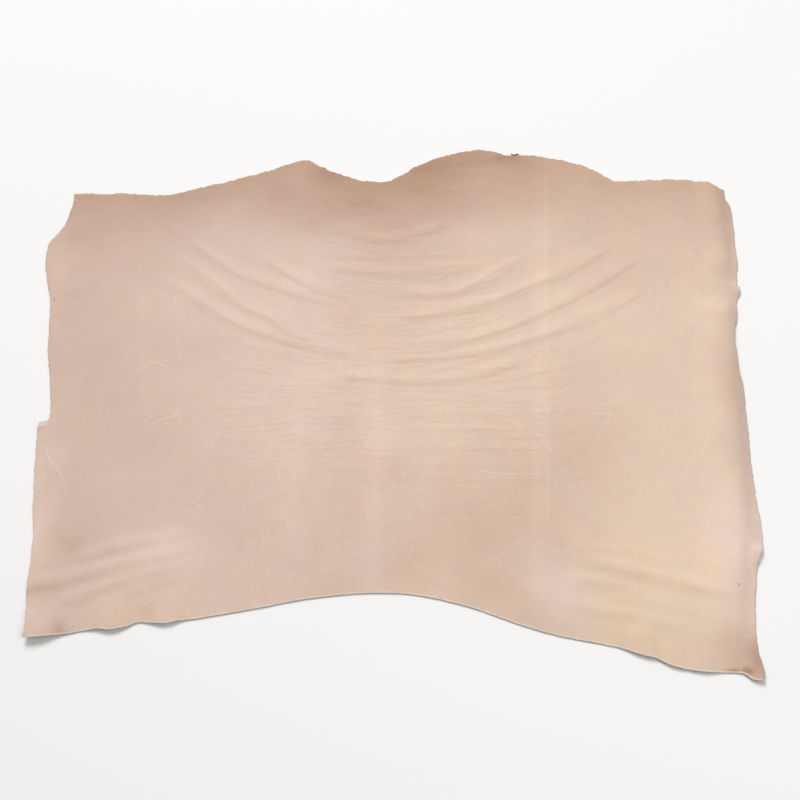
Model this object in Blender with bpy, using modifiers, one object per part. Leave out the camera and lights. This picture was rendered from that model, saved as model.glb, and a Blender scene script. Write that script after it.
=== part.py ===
"""A leather shoulder split, laid out flat with its grain side up.

It is one piece of pale vegetable-tanned cattle hide: a whole double shoulder, split to an even
thickness. The neck is towards +Y, the belly edges are left and right, the spine runs up the middle,
and a long knife cut, which parted the shoulder from the back, runs along -Y. The hide lies on its
flesh side. Loose leather at the bellies buckles in low folds, the right margin rolls over, and the
cut edge lifts off the ground here and there.
"""

import math
from collections import namedtuple

import bpy
import numpy as np
from mathutils import Vector
from mathutils.geometry import delaunay_2d_cdt

MM = 0.001

# Driving dimensions
HIDE_THICKNESS = 3.2 * MM
EDGE_STEP = 12 * MM
FOLD_STEP = 19 * MM
FLAT_STEP = 44 * MM
CLOSEST_POINTS = 8 * MM
NECK_RAGGEDNESS = 1.6 * MM
BELLY_RAGGEDNESS = 1.1 * MM
RAGGED_SEED = 11
CREST_WAVE = 140 * MM
CREST_UNEVENNESS = 0.2

LEATHER_COLOUR = (0.69, 0.52, 0.41, 1.0)
LEATHER_ROUGHNESS = 0.62

# The outline, edge by edge and anticlockwise from the lower left corner. Each row is a point that the
# edge passes through: along the hide from its spine, then towards the neck, in millimetres.
CUT_EDGE = [
    (-667, -494),
    (-643, -493),
    (-599, -484),
    (-540, -472),
    (-511, -473),
    (-484, -467),
    (-458, -458),
    (-414, -461),
    (-386, -455),
    (-350, -450),
    (-255, -433),
    (-165, -415),
    (-75, -404),
    (-5, -402),
    (60, -408),
    (145, -429),
    (230, -460),
    (305, -483),
    (405, -503),
    (455, -520),
    (480, -526),
    (510, -541),
    (560, -553),
    (625, -555),
    (648, -562),
    (670, -568),
]
RIGHT_BELLY_EDGE = [
    (670, -568),
    (672, -545),
    (665, -500),
    (668, -425),
    (681, -345),
    (691, -318),
    (695, -283),
    (692, -237),
    (687, -150),
    (687, 15),
    (681, 62),
    (680, 140),
    (688, 168),
    (691, 204),
    (700, 234),
    (694, 245),
    (700, 292),
    (699, 334),
    (700, 388),
    (697, 431),
    (689, 446),
    (688, 468),
]
NECK_EDGE = [
    (688, 468),
    (665, 479),
    (642, 489),
    (575, 495),
    (485, 491),
    (455, 494),
    (412, 524),
    (320, 550),
    (240, 556),
    (205, 565),
    (180, 568),
    (120, 557),
    (60, 532),
    (0, 494),
    (-55, 491),
    (-110, 508),
    (-160, 534),
    (-178, 542),
    (-205, 537),
    (-280, 508),
    (-375, 481),
    (-465, 457),
    (-550, 460),
    (-656, 460),
]
LEFT_BELLY_EDGE = [
    (-656, 460),
    (-658, 430),
    (-671, 382),
    (-697, 340),
    (-700, 295),
    (-694, 260),
    (-682, 200),
    (-677, 100),
    (-664, 15),
    (-661, -48),
    (-679, -61),
    (-680, -110),
    (-675, -225),
    (-668, -300),
    (-669, -395),
    (-664, -460),
    (-667, -494),
]

# A fold is a rounded buckle that the hide makes above the ground. Its crest is a curve through three
# points, in millimetres. Reach is from the crest to the foot, and the fold fades to nothing over the
# last part of each end, or runs out over the hide's edge where that part is 0. Most are steeper on the
# right of their run, towards the cut edge or the margin, and have another reach there.
Fold = namedtuple("Fold", "start middle end height reach start_fade end_fade right_reach", defaults=(0,))
BELLY_FOLDS = [
    Fold((-700, -374), (-508, -317), (-335, -287), 4, 22, 0, 140, 15),
    Fold((-700, -418), (-511, -347), (-340, -306), 4.5, 20, 0, 130, 18),
    Fold((-664, -445), (-508, -386), (-376, -339), 4.5, 21, 60, 90, 15),
    Fold((-690, -490), (-534, -435), (-399, -384), 2.5, 24, 0, 110),
    Fold((319, -317), (464, -327), (565, -380), 3.5, 18, 80, 80, 12),
    Fold((326, -335), (471, -358), (640, -416), 6, 22, 80, 90, 20),
    Fold((328, -370), (416, -382), (502, -411), 4.5, 19, 70, 80, 18),
    Fold((311, -414), (444, -439), (563, -473), 4.5, 24, 80, 90, 20),
    Fold((464, -413), (509, -422), (570, -441), 2.5, 14, 40, 50, 10),
]
MARGIN_ROLLS = [
    Fold((668, 256), (671, 340), (664, 500), 7, 46, 50, 0, 30),
    Fold((620, -530), (654, -200), (665, 224), 8.5, 80, 110, 45, 34),
    Fold((-640, 330), (-645, 270), (-640, 200), 2.5, 45, 50, 50),
    Fold((-636, -95), (-634, -210), (-640, -330), 4.5, 44, 60, 70, 36),
]
NECK_SWELLS = [
    Fold((-430, 362), (-305, 272), (-100, 200), 2.0, 24, 70, 110, 12),
    Fold((-450, 322), (-300, 202), (-130, 118), 2.2, 25, 70, 80, 12),
    Fold((-465, 262), (-300, 156), (-40, 82), 2.2, 25, 70, 110, 12),
    Fold((-272, 318), (-205, 270), (-85, 218), 1.8, 22, 50, 60, 11),
    Fold((-145, 380), (-10, 352), (130, 392), 1.6, 20, 60, 60, 12),
    Fold((-145, 292), (10, 274), (195, 290), 1.8, 20, 60, 70, 12),
    Fold((0, 230), (140, 232), (290, 320), 2.0, 22, 60, 90, 12),
    Fold((0, 170), (195, 206), (455, 338), 2.2, 25, 70, 110, 12),
    Fold((0, 104), (230, 150), (525, 322), 2.2, 25, 70, 120, 12),
    Fold((-30, 82), (240, 128), (525, 242), 2.0, 20, 80, 120, 12),
    Fold((-135, 44), (100, 38), (290, 84), 1.8, 20, 80, 90, 12),
]

# A lift is where an edge stands clear of the ground: a point on the edge in millimetres, the direction
# inwards in degrees from +X, the reach inwards, the half length along the edge, and the height.
Lift = namedtuple("Lift", "x y inwards reach half_length height")
EDGE_LIFTS = [
    Lift(-662, -492, 60, 110, 60, 15),
    Lift(-512, -474, 88, 90, 44, 8),
    Lift(-412, -461, 86, 80, 40, 7),
    Lift(458, -520, 106, 85, 40, 7),
    Lift(508, -540, 104, 75, 34, 6),
    Lift(560, -553, 96, 70, 34, 5),
    Lift(672, -568, 135, 60, 30, 6),
    Lift(-682, -62, -20, 30, 22, 9),
    Lift(702, 234, 180, 30, 20, 5),
    Lift(696, -330, 180, 45, 26, 7),
]


def curve_through(points, step):
    """Evenly spaced points along a smooth curve through the given ones, from the first to the last."""
    given = np.array(points, float)
    padded = np.vstack([2 * given[0] - given[1], given, 2 * given[-1] - given[-2]])
    share = np.linspace(0, 1, 24, endpoint=False)[:, None]
    dense = []
    for before, start, end, after in zip(padded, padded[1:], padded[2:], padded[3:]):
        bend = 2 * before - 5 * start + 4 * end - after
        swing = 3 * start - before - 3 * end + after
        dense.append(0.5 * (2 * start + (end - before) * share + bend * share**2 + swing * share**3))
    dense = np.vstack(dense + [given[-1:]])
    run = np.concatenate([[0], np.cumsum(np.linalg.norm(np.diff(dense, axis=0), axis=1))])
    stops = np.linspace(0, run[-1], max(2, round(run[-1] / step) + 1))
    return np.column_stack([np.interp(stops, run, dense[:, axis]) for axis in (0, 1)])


def rough_edge(points, raggedness, chance):
    """An edge's points, each moved in or out a little as torn leather is, with its two corners kept."""
    along = np.gradient(points, axis=0)
    outwards = np.column_stack([along[:, 1], -along[:, 0]])
    outwards /= np.linalg.norm(outwards, axis=1)[:, None]
    moves = chance.uniform(-raggedness, raggedness, len(points))
    moves[[0, -1]] = 0
    return points + outwards * moves[:, None]


def hide_outline():
    """The closed outline in metres, anticlockwise, with its box centred on the origin."""
    chance = np.random.default_rng(RAGGED_SEED)
    edges = [
        (CUT_EDGE, 0.0),
        (RIGHT_BELLY_EDGE, BELLY_RAGGEDNESS),
        (NECK_EDGE, NECK_RAGGEDNESS),
        (LEFT_BELLY_EDGE, BELLY_RAGGEDNESS),
    ]
    sides = []
    for points, raggedness in edges:
        side = curve_through(np.array(points) * MM, EDGE_STEP)
        sides.append(rough_edge(side, raggedness, chance)[:-1])
    outline = np.vstack(sides)
    return outline - (outline.min(axis=0) + outline.max(axis=0)) / 2


def smooth_ramp(value):
    """0 below 0, 1 above 1, and an even slope without corners between them."""
    value = np.clip(value, 0, 1)
    return value * value * (3 - 2 * value)


def crest_of(fold, step):
    return curve_through(np.array([fold.start, fold.middle, fold.end]) * MM, step)


def fold_height(fold, points):
    """How high one fold carries the hide at each point. Its crest dips a little here and there."""
    crest = crest_of(fold, 6 * MM)
    run = np.concatenate([[0], np.cumsum(np.linalg.norm(np.diff(crest, axis=0), axis=1))])
    offset = points[:, None] - crest[None]
    gap = np.linalg.norm(offset, axis=2)
    nearest = gap.argmin(axis=1)
    beside = offset[np.arange(len(points)), nearest]
    along = np.gradient(crest, axis=0)[nearest]
    on_the_right = beside[:, 0] * along[:, 1] > beside[:, 1] * along[:, 0]
    reach = np.where(on_the_right, fold.right_reach or fold.reach, fold.reach) * MM
    away = np.minimum(gap.min(axis=1) / reach, 1)
    height = 0.5 * fold.height * MM * (1 + np.cos(math.pi * away))
    dip = np.sin(2 * math.pi * run[nearest] / CREST_WAVE + math.radians(fold.start[1]))
    height *= 1 - CREST_UNEVENNESS * 0.5 * (1 + dip)
    if fold.start_fade:
        height *= smooth_ramp(run[nearest] / (fold.start_fade * MM))
    if fold.end_fade:
        height *= smooth_ramp((run[-1] - run[nearest]) / (fold.end_fade * MM))
    return height


def lift_height(lift, points):
    """How high one lifted stretch of edge carries the hide at each point."""
    turn = math.radians(lift.inwards)
    inwards = np.array([math.cos(turn), math.sin(turn)])
    along = np.array([-inwards[1], inwards[0]])
    offset = points - np.array([lift.x, lift.y]) * MM
    depth = smooth_ramp(1 - (offset @ inwards) / (lift.reach * MM))
    spread = np.exp(-((offset @ along / (lift.half_length * MM)) ** 2) * 1.5)
    return lift.height * MM * depth * smooth_ramp((spread - 0.05) / 0.95)


def underside_height(points):
    """The height of the hide's flesh side above the ground, which is 0 wherever it lies flat."""
    height = np.zeros(len(points))
    for fold in BELLY_FOLDS + MARGIN_ROLLS + NECK_SWELLS:
        height = height + fold_height(fold, points)
    for lift in EDGE_LIFTS:
        height = np.maximum(height, lift_height(lift, points))
    return height


def fold_points(fold):
    """Points along a fold's crest, halfway down each side of it and along each foot."""
    crest = crest_of(fold, FOLD_STEP)
    along = np.gradient(crest, axis=0)
    left = np.column_stack([-along[:, 1], along[:, 0]])
    left /= np.linalg.norm(left, axis=1)[:, None]
    right_reach = fold.right_reach or fold.reach
    offsets = (0, fold.reach, fold.reach / 2, -right_reach, -right_reach / 2)
    return np.vstack([crest + left * offset * MM for offset in offsets])


def lift_points(lift):
    """A small fan of points over a lifted stretch of edge."""
    turn = math.radians(lift.inwards)
    inwards = np.array([math.cos(turn), math.sin(turn)])
    along = np.array([-inwards[1], inwards[0]])
    points = [
        np.array([lift.x, lift.y]) + inwards * lift.reach * depth + along * lift.half_length * side
        for depth in (0.25, 0.5, 0.75, 1.0)
        for side in (-1.2, -0.6, 0, 0.6, 1.2)
    ]
    return np.array(points) * MM


def lattice_points(outline):
    """An even triangular lattice over the hide's box, for the flat leather between the folds."""
    low, high = outline.min(axis=0), outline.max(axis=0)
    row_height = FLAT_STEP * math.sqrt(3) / 2
    rows = np.arange(low[1], high[1], row_height)
    points = []
    for number, level in enumerate(rows):
        stops = np.arange(low[0] + FLAT_STEP / 2 * (number % 2), high[0], FLAT_STEP)
        points.append(np.column_stack([stops, np.full(len(stops), level)]))
    return np.vstack(points)


def inside(outline, points):
    """Which points lie inside the closed outline, by counting the edges that a level ray crosses."""
    start, end = outline, np.roll(outline, -1, axis=0)
    level = points[:, 1:2]
    spans = (start[:, 1] > level) != (end[:, 1] > level)
    rise = np.where(end[:, 1] == start[:, 1], 1, end[:, 1] - start[:, 1])
    crossing = start[:, 0] + (level - start[:, 1]) / rise * (end[:, 0] - start[:, 0])
    return (spans & (points[:, 0:1] < crossing)).sum(axis=1) % 2 == 1


def spaced_points(outline):
    """The points inside the outline that the hide's surface is drawn through, none too close together."""
    groups = [(fold_points(fold), CLOSEST_POINTS) for fold in MARGIN_ROLLS + BELLY_FOLDS + NECK_SWELLS]
    groups += [(lift_points(lift), CLOSEST_POINTS) for lift in EDGE_LIFTS]
    groups.append((lattice_points(outline), FLAT_STEP * 0.55))
    kept = outline.copy()
    for points, gap in groups:
        for point in points[inside(outline, points)]:
            if np.linalg.norm(kept - point, axis=1).min() > gap:
                kept = np.vstack([kept, point])
    return kept[len(outline) :]


def hide_mesh():
    """The hide's flesh side as one open surface of triangles."""
    outline = hide_outline()
    points = np.vstack([outline, spaced_points(outline)])
    ring = list(range(len(outline)))
    inside_only = 1
    result = delaunay_2d_cdt([Vector(point) for point in points], [], [ring], inside_only, 1e-6)
    flat, faces = np.array([tuple(vertex) for vertex in result[0]]), result[2]
    corners = np.column_stack([flat, underside_height(flat)])
    mesh = bpy.data.meshes.new("hide")
    mesh.from_pydata(corners.tolist(), [], faces)
    mesh.update()
    return mesh


def leather_material():
    material = bpy.data.materials.new("leather")
    material.use_nodes = True
    shader = material.node_tree.nodes["Principled BSDF"]
    shader.inputs["Base Color"].default_value = LEATHER_COLOUR
    shader.inputs["Roughness"].default_value = LEATHER_ROUGHNESS
    shader.inputs["Metallic"].default_value = 0.0
    return material


def make_hide(collection):
    """The whole shoulder: its flesh side, thickened upwards so that what lies flat stays on the ground."""
    mesh = hide_mesh()
    mesh.materials.append(leather_material())
    mesh.shade_smooth()
    hide = bpy.data.objects.new("hide", mesh)
    collection.objects.link(hide)
    thickness = hide.modifiers.new("thickness", "SOLIDIFY")
    thickness.thickness = HIDE_THICKNESS
    thickness.offset = 1.0
    thickness.use_even_offset = True
    return hide


for thing in list(bpy.data.objects):
    bpy.data.objects.remove(thing, do_unlink=True)
shoulder = bpy.data.collections.new("leather shoulder split")
bpy.context.scene.collection.children.link(shoulder)
make_hide(shoulder)
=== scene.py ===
import functools
import math
from collections import namedtuple

import bmesh
import bpy
import numpy as np
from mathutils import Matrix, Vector


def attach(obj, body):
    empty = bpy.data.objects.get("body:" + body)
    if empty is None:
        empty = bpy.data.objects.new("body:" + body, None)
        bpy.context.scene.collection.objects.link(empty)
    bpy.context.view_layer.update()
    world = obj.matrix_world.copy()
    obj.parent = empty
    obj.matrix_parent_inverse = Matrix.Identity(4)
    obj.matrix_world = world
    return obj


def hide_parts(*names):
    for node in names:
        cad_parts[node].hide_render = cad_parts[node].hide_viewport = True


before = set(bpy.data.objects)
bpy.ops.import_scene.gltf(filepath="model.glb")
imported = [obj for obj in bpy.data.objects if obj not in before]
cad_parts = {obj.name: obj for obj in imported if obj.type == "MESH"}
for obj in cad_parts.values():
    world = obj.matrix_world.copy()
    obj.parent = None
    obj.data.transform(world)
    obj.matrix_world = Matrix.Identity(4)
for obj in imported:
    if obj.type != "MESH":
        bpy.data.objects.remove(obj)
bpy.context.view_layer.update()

# The hide: its cut outline
# One whole double shoulder of undyed vegetable-tanned cattle leather, split to an even thickness. The
# neck and belly edges are torn and dried as they came off the animal, and the long edge at -Y is a
# clean knife cut. All tables are in millimetres from the middle of the hide, as it lies.
MM = 0.001
THICKNESS = 3.2 * MM

CUT_EDGE = [
    (-667, -489), (-643, -488), (-599, -481), (-540, -471), (-511, -473), (-484, -467), (-458, -458),
    (-414, -461), (-386, -455), (-350, -450), (-255, -433), (-165, -415), (-75, -404), (-5, -402),
    (60, -408), (145, -429), (230, -460), (305, -483), (405, -503), (455, -520), (480, -526),
    (510, -540), (560, -550), (625, -552), (640, -557), (651, -565), (670, -568),
]
RIGHT_BELLY_EDGE = [
    (670, -568), (672, -545), (665, -500), (668, -425), (681, -345), (691, -318), (695, -283),
    (692, -237), (687, -150), (687, 15), (681, 62), (680, 140), (688, 168), (691, 204), (700, 234),
    (694, 245), (700, 292), (699, 334), (700, 388), (697, 431), (689, 446), (688, 468),
]
NECK_EDGE = [
    (688, 468), (665, 479), (642, 489), (575, 495), (485, 491), (455, 494), (412, 524), (320, 550),
    (240, 556), (205, 565), (180, 568), (120, 557), (60, 532), (0, 494), (-55, 491), (-110, 508),
    (-160, 534), (-178, 542), (-205, 537), (-280, 508), (-375, 481), (-465, 457), (-550, 460),
    (-656, 460),
]
LEFT_BELLY_EDGE = [
    (-656, 460), (-658, 430), (-671, 382), (-697, 340), (-700, 295), (-694, 260), (-682, 200),
    (-677, 100), (-664, 15), (-661, -48), (-679, -61), (-680, -110), (-675, -225), (-668, -300),
    (-669, -395), (-664, -460), (-667, -489),
]

# The sheet's columns, and the rim's points to each row or column
ACROSS = 282
FINE = 2
# How far the grid's own border lies inside the rim
LIP_INSET = 4 * MM
# How far apart the rows of the sheet lie, in millimetres, at each share of the way from the cut edge to
# the neck. They are closest over the growth wrinkles.
ROW_SPACINGS = [(0.0, 5.5), (0.2, 5.5), (0.26, 3.9), (0.92, 3.7), (1.0, 4.6)]
SPACING_STEPS = 400
HIDE_LENGTH = 1030 * MM
HALF_WIDTH = 685 * MM
# The rows rise away from the spine as the wrinkles do, by up to this share of the length, and level out
# again at the bellies.
ROW_BEND = 0.2
BEND_RISE = 620 * MM
BEND_END = 500 * MM
BEND_FADE = 170 * MM
# The flesh side takes every third row and column, and stays within this slack of the lowest place near it,
# so that it never comes through the grain side.
FLESH_STEP = 3
FLESH_SLACK = 1.2 * MM
CURVE_STEPS = 24


def curve_at(points, shares):
    """Points at the given shares of the length of a smooth curve through the given ones."""
    given = np.array(points, float) * MM
    padded = np.vstack([2 * given[0] - given[1], given, 2 * given[-1] - given[-2]])
    part = np.linspace(0, 1, CURVE_STEPS, endpoint=False)[:, None]
    dense = []
    for before, start, end, after in zip(padded, padded[1:], padded[2:], padded[3:]):
        bend = 2 * before - 5 * start + 4 * end - after
        swing = 3 * start - before - 3 * end + after
        dense.append(0.5 * (2 * start + (end - before) * part + bend * part**2 + swing * part**3))
    dense = np.vstack(dense + [given[-1:]])
    run = np.concatenate([[0], np.cumsum(np.linalg.norm(np.diff(dense, axis=0), axis=1))])
    return np.column_stack([np.interp(shares * run[-1], run, dense[:, axis]) for axis in (0, 1)])


def row_shares():
    """The share of the way from the cut edge to the neck at which each row lies."""
    share = np.linspace(0, 1, SPACING_STEPS)
    spacing = np.interp(share, *zip(*ROW_SPACINGS)) * MM / HIDE_LENGTH
    rows_below = np.concatenate([[0], np.cumsum(np.diff(share) / spacing[1:])])
    rows = round(rows_below[-1] / FLESH_STEP) * FLESH_STEP
    return np.interp(np.linspace(0, rows_below[-1], rows + 1), rows_below, share)


def smooth_ramp(value):
    """0 below 0, 1 above 1, and an even slope without corners between them."""
    value = np.clip(value, 0, 1)
    return value * value * (3 - 2 * value)


def rising(value, start, length):
    """0 up to the start, and 1 from this length past it."""
    return smooth_ramp((value - start) / length)


def bell(value, middle, width):
    """1 at the middle, falling off softly to both sides."""
    return np.exp(-(((value - middle) / width) ** 2))


def turned(directions):
    """Each direction of a loop or curve turned to the right, at unit length."""
    right = np.column_stack([directions[:, 1], -directions[:, 0]])
    return right / np.linalg.norm(right, axis=1)[:, None]


rows_up = row_shares()
UP = len(rows_up) - 1
across_fine = np.linspace(0, 1, ACROSS * FINE + 1)
up_fine = np.interp(np.arange(UP * FINE + 1) / FINE, np.arange(UP + 1), rows_up)
smooth_rim = np.vstack([
    curve_at(CUT_EDGE, across_fine)[:-1],
    curve_at(RIGHT_BELLY_EDGE, up_fine)[:-1],
    curve_at(NECK_EDGE, across_fine)[:-1],
    curve_at(LEFT_BELLY_EDGE, 1 - up_fine[::-1])[:-1],
])
smooth_rim -= (smooth_rim.min(axis=0) + smooth_rim.max(axis=0)) / 2
rim_outwards = turned(np.roll(smooth_rim, -2, axis=0) - np.roll(smooth_rim, 2, axis=0))
RIM = len(smooth_rim)
rim_corners = np.cumsum([0, ACROSS * FINE, UP * FINE, ACROSS * FINE, UP * FINE])


NOISE_TABLE = 128
# How far the torn teeth of each edge stand out, in millimetres, its fine and its coarse ones: the knife
# cut, the right belly, the neck and the left belly. They fade out over the last points of each edge.
TEETH = [(0.12, 0.12), (0.7, 0.8), (1.5, 1.3), (0.8, 0.6)]
TEETH_FADE = 6
FINE_TOOTH = 3.2 * MM
COARSE_TOOTH = 17 * MM


def table_noise(places, seed):
    """A smooth random height from -1 to 1 at each place, whose bumps are 1 unit apart."""
    table = np.random.default_rng(seed).uniform(-1, 1, (NOISE_TABLE, NOISE_TABLE))
    cell = np.floor(places).astype(int)
    part = smooth_ramp(places - cell)

    def corner(right, up):
        return table[(cell[:, 0] + right) % NOISE_TABLE, (cell[:, 1] + up) % NOISE_TABLE]

    low = corner(0, 0) * (1 - part[:, 0]) + corner(1, 0) * part[:, 0]
    high = corner(0, 1) * (1 - part[:, 0]) + corner(1, 1) * part[:, 0]
    return low * (1 - part[:, 1]) + high * part[:, 1]


def rim_noise(length, seed):
    """A smooth random height from -1 to 1 at each point of the rim, whose bumps are this long."""
    return table_noise(np.column_stack([rim_run / length, np.zeros(RIM)]), seed)


def torn_amount():
    """How far the fine and the coarse teeth stand out at each point of the rim, in metres."""
    amounts = []
    for teeth, start, end in zip(TEETH, rim_corners, rim_corners[1:]):
        steps = np.arange(end - start)
        fade = np.clip(np.minimum(steps, steps[::-1]) / TEETH_FADE, 0, 1)
        amounts.append(fade[:, None] * teeth)
    return np.vstack(amounts) * MM


rim_run = np.cumsum(np.linalg.norm(smooth_rim - np.roll(smooth_rim, 1, axis=0), axis=1))
torn = torn_amount()
teeth_height = rim_noise(FINE_TOOTH, 21) * torn[:, 0] + rim_noise(COARSE_TOOTH, 22) * torn[:, 1]
rim = smooth_rim + rim_outwards * teeth_height[:, None]


def sheet_grid():
    """The places of the sheet's rows and columns, stretched between its four edges."""
    inset = smooth_rim - rim_outwards * LIP_INSET
    inset = np.vstack([inset, inset[:1]])
    low, right, high, left = (
        inset[start : end + 1 : FINE] for start, end in zip(rim_corners, rim_corners[1:])
    )
    high, left = high[::-1], left[::-1]
    u = np.linspace(0, 1, ACROSS + 1)[None]
    from_spine = np.abs(u - 0.5) * 2 * HALF_WIDTH
    bend = ROW_BEND * smooth_ramp(from_spine / BEND_RISE) * (1 - rising(from_spine, BEND_END, BEND_FADE))
    v = rows_up[:, None] + bend * 4 * rows_up[:, None] * (1 - rows_up[:, None])
    left, right = (
        np.stack([np.interp(v, rows_up, side[:, axis]) for axis in (0, 1)], axis=2)
        for side in (left, right)
    )
    u, v = u[:, :, None], v[:, :, None]
    low_corners = (1 - u) * low[0] + u * low[-1]
    high_corners = (1 - u) * high[0] + u * high[-1]
    corners = (1 - v) * low_corners + v * high_corners
    return (1 - v) * low[None] + v * high[None] + (1 - u) * left + u * right - corners


grid = sheet_grid()

# The hide: how it lies
# The low buckles of the CAD solid, a little softer: folds at the bellies, a roll along each margin, swells
# hanging in arcs from the neck, and stretches of edge that lift off the ground. A fold runs through three
# points, and reaches as far to its right as to its left where no right reach is given.
Fold = namedtuple("Fold", "start middle end height reach start_fade end_fade right_reach", defaults=(0,))
FOLDS = [
    Fold((-609, -347), (-504, -313), (-342, -286), 2.2, 24, 60, 90, 17),
    Fold((-669, -392), (-520, -353), (-328, -304), 2.7, 26, 0, 90, 22),
    Fold((-642, -441), (-517, -388), (-345, -333), 2.5, 26, 50, 90, 18),
    Fold((-524, -414), (-443, -388), (-371, -368), 1.4, 20, 50, 50, 14),
    Fold((316, -314), (442, -325), (554, -360), 1.9, 17, 50, 60, 11),
    Fold((322, -329), (480, -365), (655, -414), 3.4, 23, 60, 70, 21),
    Fold((312, -369), (397, -382), (485, -407), 2.3, 18, 50, 50, 15),
    Fold((367, -407), (476, -420), (575, -447), 1.8, 18, 50, 60, 11),
    Fold((296, -418), (420, -441), (572, -475), 2.4, 22, 60, 80, 17),
    Fold((668, 256), (671, 340), (664, 500), 7, 46, 50, 0, 30),
    Fold((620, -530), (654, -200), (665, 224), 8.5, 80, 110, 45, 34),
    Fold((-640, 330), (-645, 270), (-640, 200), 2.5, 45, 50, 50),
    Fold((-636, -95), (-634, -210), (-640, -330), 4.5, 44, 60, 70, 36),
    Fold((-430, 362), (-305, 272), (-100, 200), 1.5, 24, 70, 110, 19),
    Fold((-450, 322), (-300, 202), (-130, 118), 1.8, 25, 70, 80, 20),
    Fold((-465, 262), (-300, 156), (-40, 82), 1.8, 25, 70, 110, 20),
    Fold((-272, 318), (-205, 270), (-85, 218), 1.4, 22, 50, 60, 18),
    Fold((-145, 380), (-10, 352), (130, 392), 1.2, 20, 60, 60, 16),
    Fold((-145, 292), (10, 274), (195, 290), 1.3, 20, 60, 70, 16),
    Fold((0, 230), (140, 232), (290, 320), 1.6, 22, 60, 90, 18),
    Fold((0, 170), (205, 208), (455, 338), 1.8, 25, 70, 110, 20),
    Fold((0, 104), (230, 150), (525, 322), 1.8, 25, 70, 120, 20),
    Fold((-30, 78), (240, 110), (525, 242), 1.6, 20, 80, 120, 17),
    Fold((-135, 44), (100, 38), (290, 84), 1.4, 20, 80, 90, 16),
]
# Each crest rises and falls by this share of its height, once in each wave's length.
CREST_WAVE = 140 * MM
CREST_UNEVENNESS = 0.2
CREST_STEP = 4 * MM
# How sharply the height of a lifted stretch falls off along the edge, and where it ends
LIFT_SHARPNESS = 1.5
LIFT_END = 0.05

# Each lift is a place on the edge, and the direction inwards from it in degrees
Lift = namedtuple("Lift", "x y inwards reach half_length height")
EDGE_LIFTS = [
    Lift(-662, -492, 60, 110, 60, 12.5), Lift(-512, -474, 88, 90, 44, 6), Lift(-412, -461, 86, 80, 40, 5),
    Lift(458, -520, 106, 85, 40, 5), Lift(508, -540, 104, 75, 38, 4), Lift(560, -553, 96, 70, 38, 3.5),
    Lift(672, -568, 135, 60, 30, 6), Lift(-682, -62, -20, 24, 14, 2), Lift(702, 234, 180, 30, 20, 5),
    Lift(696, -330, 180, 45, 26, 7),
]


def beside_curve(points, places, reach):
    """For the places within reach of a curve: which they are, how far along it each lies, how far to its
    right and how far from it. The curve's length comes last."""
    length = np.linalg.norm(np.diff(np.array(points, float) * MM, axis=0), axis=1).sum()
    curve = curve_at(points, np.linspace(0, 1, max(3, int(length / CREST_STEP))))
    right = turned(np.gradient(curve, axis=0))
    run = np.concatenate([[0], np.cumsum(np.linalg.norm(np.diff(curve, axis=0), axis=1))])
    low, high = curve.min(axis=0) - reach, curve.max(axis=0) + reach
    near = np.flatnonzero(((places > low) & (places < high)).all(axis=1))
    offset = places[near][:, None] - curve[None]
    gap = np.linalg.norm(offset, axis=2)
    nearest = gap.argmin(axis=1)
    one = np.arange(len(near))
    side = (offset[one, nearest] * right[nearest]).sum(axis=1)
    kept = gap[one, nearest] < reach
    return near[kept], run[nearest][kept], side[kept], gap[one, nearest][kept], run[-1]


def add_fold(height, fold, places):
    """Adds a fold's height to the places that it reaches."""
    points = (fold.start, fold.middle, fold.end)
    right_reach = (fold.right_reach or fold.reach) * MM
    near, run, side, away, length = beside_curve(points, places, max(fold.reach * MM, right_reach))
    away = np.minimum(away / np.where(side > 0, right_reach, fold.reach * MM), 1)
    rise = 0.5 * fold.height * MM * (1 + np.cos(math.pi * away))
    dip = np.sin(2 * math.pi * run / CREST_WAVE + math.radians(fold.start[1]))
    rise *= 1 - CREST_UNEVENNESS * 0.5 * (1 + dip)
    if fold.start_fade:
        rise *= smooth_ramp(run / (fold.start_fade * MM))
    if fold.end_fade:
        rise *= smooth_ramp((length - run) / (fold.end_fade * MM))
    height[near] += rise


def lift_height(lift, places):
    """How high a lifted stretch of edge holds each place."""
    turn = math.radians(lift.inwards)
    inwards = np.array([math.cos(turn), math.sin(turn)])
    along = np.array([-inwards[1], inwards[0]])
    offset = places - np.array([lift.x, lift.y]) * MM
    depth = smooth_ramp(1 - (offset @ inwards) / (lift.reach * MM))
    spread = np.exp(-((offset @ along / (lift.half_length * MM)) ** 2) * LIFT_SHARPNESS)
    return lift.height * MM * depth * rising(spread, LIFT_END, 1 - LIFT_END)


def underside_height(places):
    """How high the flesh side is above the ground, which is 0 wherever the hide lies flat."""
    height = np.zeros(len(places))
    for fold in FOLDS:
        add_fold(height, fold, places)
    for lift in EDGE_LIFTS:
        height = np.maximum(height, lift_height(lift, places))
    return height


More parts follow.
